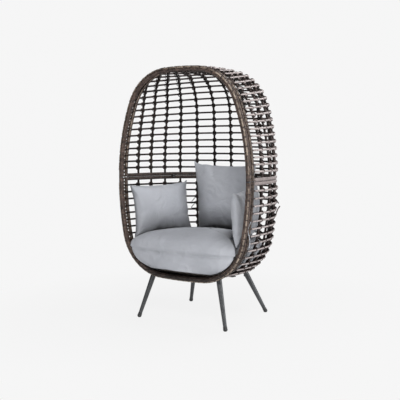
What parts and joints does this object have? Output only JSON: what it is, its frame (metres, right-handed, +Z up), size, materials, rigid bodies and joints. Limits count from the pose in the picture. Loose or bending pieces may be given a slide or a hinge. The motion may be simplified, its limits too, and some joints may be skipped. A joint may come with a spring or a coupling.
{
  "type": "rattan cocoon chair",
  "caption": "Tall egg-shaped lounge chair: an open woven wicker shell on splayed tapered legs, open at the front, with a puffy seat cushion and loose scatter pillows.",
  "frame": {"origin": "on the floor, under the middle of the chair's overall box", "axes": "+Z up, the open front faces -Y, and +X is the viewer's right when facing the front"},
  "size_m": [0.9206, 0.7379, 1.5062],
  "materials": {
    "rim_wicker": "satin",
    "hoop_wicker": "satin",
    "rail_wicker": "satin",
    "dark_wicker": "satin",
    "strand_wicker": "satin",
    "deck_wicker": "satin",
    "frame_steel": "satin",
    "leg_steel": "satin",
    "fastener_steel": "zinc plated",
    "foot_rubber": "matt",
    "cushion_fabric": "plain weave"
  },
  "bodies": {
    "shell": {"upper_rim_tube": "frame_steel", "lower_rim_tube": "frame_steel", "upper_rim_wrap": "rim_wicker", "lower_rim_wrap": "rim_wicker", "upper_hoop": "hoop_wicker", "lower_hoop": "hoop_wicker", "upper_rim_ties": "dark_wicker", "lower_rim_ties": "dark_wicker", "upper_seam_rail": "rail_wicker", "lower_seam_rail": "rail_wicker", "upper_ribs": "dark_wicker", "lower_ribs": "dark_wicker", "upper_strands": "strand_wicker", "lower_strands": "strand_wicker", "upper_seam_tabs": "frame_steel", "lower_seam_tabs": "frame_steel", "rim_spigots": "frame_steel", "rim_screws": "fastener_steel", "seam_bolts": "fastener_steel", "seam_nuts": "fastener_steel", "base_ring": "rail_wicker", "front_bar": "frame_steel", "rear_bar": "frame_steel", "seat_deck": "deck_wicker", "front_apron": "deck_wicker", "leg_sockets": "leg_steel", "leg_screws": "fastener_steel", "leg_front_left": "leg_steel", "leg_front_right": "leg_steel", "leg_rear_left": "leg_steel", "leg_rear_right": "leg_steel", "foot_front_left": "foot_rubber", "foot_front_right": "foot_rubber", "foot_rear_left": "foot_rubber", "foot_rear_right": "foot_rubber"},
    "seat_cushion": {"seat_cushion": "cushion_fabric"},
    "back_pillow": {"back_pillow": "cushion_fabric"},
    "left_pillow": {"left_pillow": "cushion_fabric"},
    "right_pillow": {"right_pillow": "cushion_fabric"}
  },
  "joints": [
    {"name": "seat_cushion_slide", "type": "slide", "parent": "shell", "child": "seat_cushion", "axis": [0, -0.9954, 0.0958], "range_m": [0, 0.72]},
    {"name": "back_pillow_lift", "type": "slide", "parent": "seat_cushion", "child": "back_pillow", "axis": [0, -0.8191, 0.5736], "range_m": [0, 0.86]},
    {"name": "left_pillow_slide", "type": "slide", "parent": "seat_cushion", "child": "left_pillow", "axis": [0, -0.9848, 0.1736], "range_m": [0, 0.6]},
    {"name": "right_pillow_slide", "type": "slide", "parent": "seat_cushion", "child": "right_pillow", "axis": [0, -0.9848, 0.1736], "range_m": [0, 0.58]}
  ]
}
